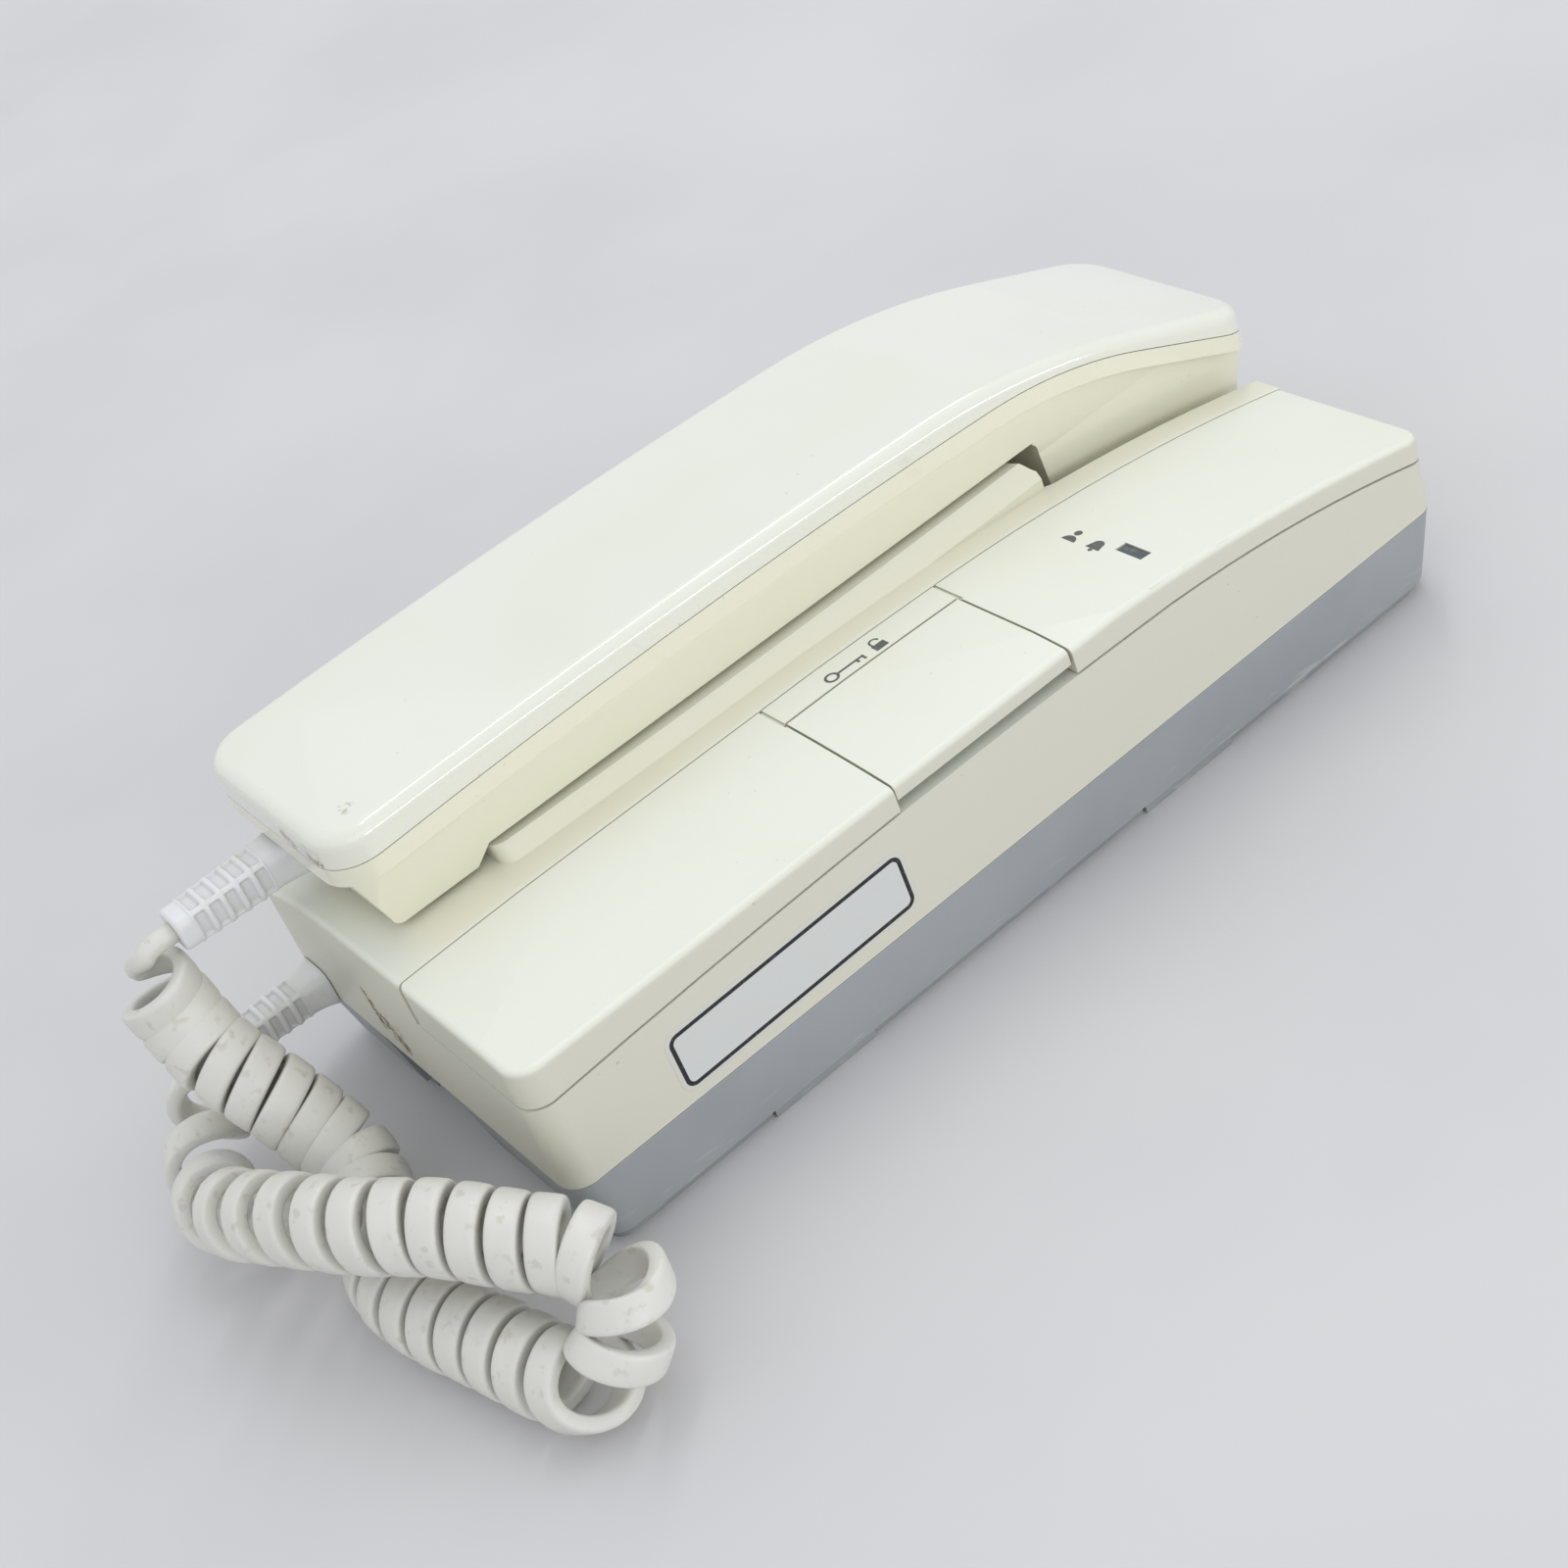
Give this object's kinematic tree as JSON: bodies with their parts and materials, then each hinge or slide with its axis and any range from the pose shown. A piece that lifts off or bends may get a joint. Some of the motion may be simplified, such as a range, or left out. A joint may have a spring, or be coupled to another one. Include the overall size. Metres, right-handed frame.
{
  "type": "intercom indoor station",
  "caption": "Wall-mounted intercom indoor station with a handset on a curly cord, a release key with hinge and switch, and a call lamp in the cover",
  "frame": {"origin": "Middle of the body's back face, in the plane of the wall or table that the back rests on", "axes": "+X from the handset side to the cover side, +Y from the cord end to the head end (up on the wall), +Z out of the wall"},
  "size_m": [0.1327, 0.2696, 0.0716],
  "materials": {
    "ivory_plastic": "satin moulded ABS, slightly yellowed in its recesses",
    "handset_plastic": "glossy moulded ABS",
    "grey_plastic": "fine satin moulded ABS",
    "white_vinyl": "soft vinyl, satin",
    "smoked_lens": "translucent smoked polycarbonate",
    "black_plastic": "matt glass-filled nylon",
    "white_nylon": "plain nylon",
    "zinc_steel": "zinc-plated sheet",
    "bright_steel": "bright zinc plating",
    "core_steel": "varnished steel",
    "brass_screws": "plain brass",
    "winding": "yellow winding tape",
    "board": "green solder mask",
    "lamp_resin": "diffused red resin",
    "capacitor_sleeve": "dark blue sleeve",
    "ferrite": "bare ferrite",
    "paper_cone": "pressed paper",
    "soft_rubber": "soft black rubber"
  },
  "bodies": {
    "station": {"rear_case": "grey_plastic", "wall_bracket": "zinc_steel", "front_case": "ivory_plastic", "front_cover": "ivory_plastic", "lamp_window": "smoked_lens", "key_hinge_pin": "bright_steel", "key_spring": "bright_steel", "key_switch": "black_plastic", "main_board": "board", "board_screws": "bright_steel", "case_screws": "bright_steel", "call_lamp": "lamp_resin", "capacitors": "capacitor_sleeve", "line_relay": "black_plastic", "audio_chip": "black_plastic", "cord_socket": "white_nylon", "transformer_core": "core_steel", "transformer_coil": "winding", "terminal_block": "white_nylon", "terminal_screws": "brass_screws", "speaker_frame": "zinc_steel", "speaker_cone": "paper_cone", "speaker_magnet": "ferrite", "hook_switch": "black_plastic", "hook_spring": "bright_steel", "base_strain_relief": "white_vinyl", "curly_cord": "white_vinyl"},
    "handset": {"handset_outer_shell": "handset_plastic", "handset_inner_shell": "handset_plastic", "handset_screws": "bright_steel", "receiver_capsule": "black_plastic", "receiver_gasket": "soft_rubber", "microphone_capsule": "bright_steel", "microphone_boot": "soft_rubber", "handset_weight": "core_steel", "handset_strain_relief": "white_vinyl"},
    "hook_lever": {"hook_plunger": "ivory_plastic"},
    "door_key": {"release_key": "ivory_plastic"},
    "key_plunger": {"switch_plunger": "white_nylon"}
  },
  "joints": [
    {"name": "handset_lift", "type": "slide", "parent": "station", "child": "handset", "axis": [0, 0, 1], "range_m": [0, 0.06], "deforming": ["curly_cord"]},
    {"name": "hook_plunger_slide", "type": "slide", "parent": "station", "child": "hook_lever", "axis": [0, 0, 1], "range_m": [0, 0.003], "deforming": ["hook_spring"]},
    {"name": "release_key_hinge", "type": "hinge", "parent": "station", "child": "door_key", "pos_m": [0.0224, -0.00475, 0.0424], "axis": [0, 1, 0], "range_deg": [0, 4], "stiffness_Nm_per_rad": 0.06, "springref_deg": -5.73, "deforming": ["key_spring"]},
    {"name": "switch_plunger_slide", "type": "slide", "parent": "station", "child": "key_plunger", "axis": [0, 0, -1], "range_m": [0, 0.0012]}
  ],
  "couplings": [
    {"joint": "hook_plunger_slide", "follows": "handset_lift", "ratio": 0.05},
    {"joint": "switch_plunger_slide", "follows": "release_key_hinge", "m_per_rad": 0.0156}
  ]
}
